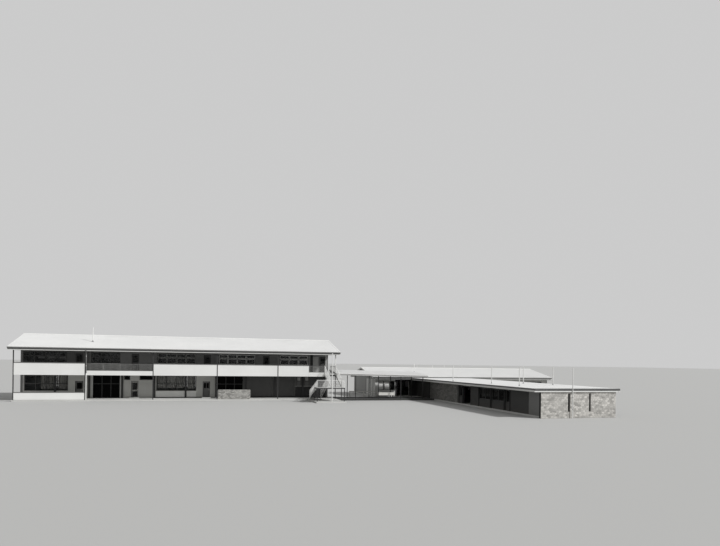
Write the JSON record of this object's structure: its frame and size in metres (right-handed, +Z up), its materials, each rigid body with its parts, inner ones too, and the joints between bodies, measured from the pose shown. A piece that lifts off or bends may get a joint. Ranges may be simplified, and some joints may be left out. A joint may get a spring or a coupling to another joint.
{
  "type": "school building, 1:2 scale model",
  "caption": "School building with a two-storey verandah block, an outside stair, a covered way and two single-storey wings.",
  "frame": {"origin": "on the ground, in the middle of the building's plan", "axes": "+X along the two-storey block towards the stair, +Y to the back, +Z up"},
  "size_m": [35.96, 20.089, 4.256],
  "materials": {
    "concrete": "weathered concrete with a trowelled top",
    "dark_paint": "dark satin paint on steel",
    "white_paint": "off-white satin paint",
    "rubble_stone": "random rubble stone with pale mortar",
    "rail_steel": "grey paint on steel bars",
    "wall_render": "smooth painted wall face",
    "court_masonry": "rough masonry",
    "roof_sheet": "white corrugated roofing sheet",
    "fascia_paint": "light painted board",
    "gutter_paint": "dark painted sheet metal",
    "soffit_board": "painted lining board",
    "frame_paint": "dark painted timber",
    "glass": "clear window glass",
    "shutter_boards": "dark horizontal boards",
    "door_paint": "painted flush door",
    "stair_paint": "dark paint",
    "vent_pipe": "white painted pipe",
    "bench_timber": "pale painted timber"
  },
  "bodies": {
    "building": {"barge_boards": "fascia_paint", "court_wall": "court_masonry", "door_frames": "frame_paint", "door_lintels": "wall_render", "door_steps": "concrete", "eaves_fascias": "fascia_paint", "eaves_gutters": "gutter_paint", "edge_beams": "white_paint", "end_walls": "wall_render", "front_wing_ceiling": "soffit_board", "front_wing_floor": "concrete", "front_wing_roof": "roof_sheet", "gable_ends": "fascia_paint", "ground_front_wall": "wall_render", "ground_parapet": "white_paint", "landing_balustrades": "rail_steel", "landing_posts": "dark_paint", "main_roof_front": "roof_sheet", "main_roof_rear": "roof_sheet", "main_slab": "concrete", "outer_side_wall": "wall_render", "rear_walls": "wall_render", "rear_window_frames": "frame_paint", "rear_wing_ceiling": "soffit_board", "rear_wing_floor": "concrete", "rear_wing_gable_walls": "wall_render", "rear_wing_long_walls": "wall_render", "rear_wing_roof_front": "roof_sheet", "rear_wing_roof_rear": "roof_sheet", "ridge_caps": "roof_sheet", "roof_vents": "vent_pipe", "shutter_boards": "shutter_boards", "stair_balustrades": "rail_steel", "stair_landing": "stair_paint", "stair_mast": "white_paint", "stair_pad": "concrete", "stair_stringers": "white_paint", "stair_treads": "stair_paint", "stone_end_wall": "rubble_stone", "stone_low_wall": "rubble_stone", "upper_ceiling": "soffit_board", "upper_door_leaves": "door_paint", "upper_floor": "concrete", "upper_front_wall": "wall_render", "upper_parapets": "white_paint", "verandah_posts": "dark_paint", "verandah_railings": "rail_steel", "wall_columns": "dark_paint", "way_beams": "dark_paint", "way_bench": "bench_timber", "way_floor": "concrete", "way_posts": "dark_paint", "way_roof": "roof_sheet", "window_frames": "frame_paint", "window_glass": "glass", "wing_glass": "glass", "wing_window_frames": "frame_paint"},
    "first_classroom_door": {"first_classroom_door": "door_paint"},
    "hall_door": {"hall_door": "door_paint"},
    "classroom_door": {"classroom_door": "door_paint"}
  },
  "joints": [
    {"name": "first_classroom_door_hinge", "type": "hinge", "parent": "building", "child": "first_classroom_door", "pos_m": [-14.8115, 3.6005, 0.5], "axis": [0, 0, 1], "range_deg": [0, 100]},
    {"name": "hall_door_hinge", "type": "hinge", "parent": "building", "child": "hall_door", "pos_m": [-11.7315, 3.6005, 0.5], "axis": [0, 0, 1], "range_deg": [0, 100]},
    {"name": "classroom_door_hinge", "type": "hinge", "parent": "building", "child": "classroom_door", "pos_m": [-7.5365, 3.6005, 0.5], "axis": [0, 0, 1], "range_deg": [0, 100]}
  ]
}
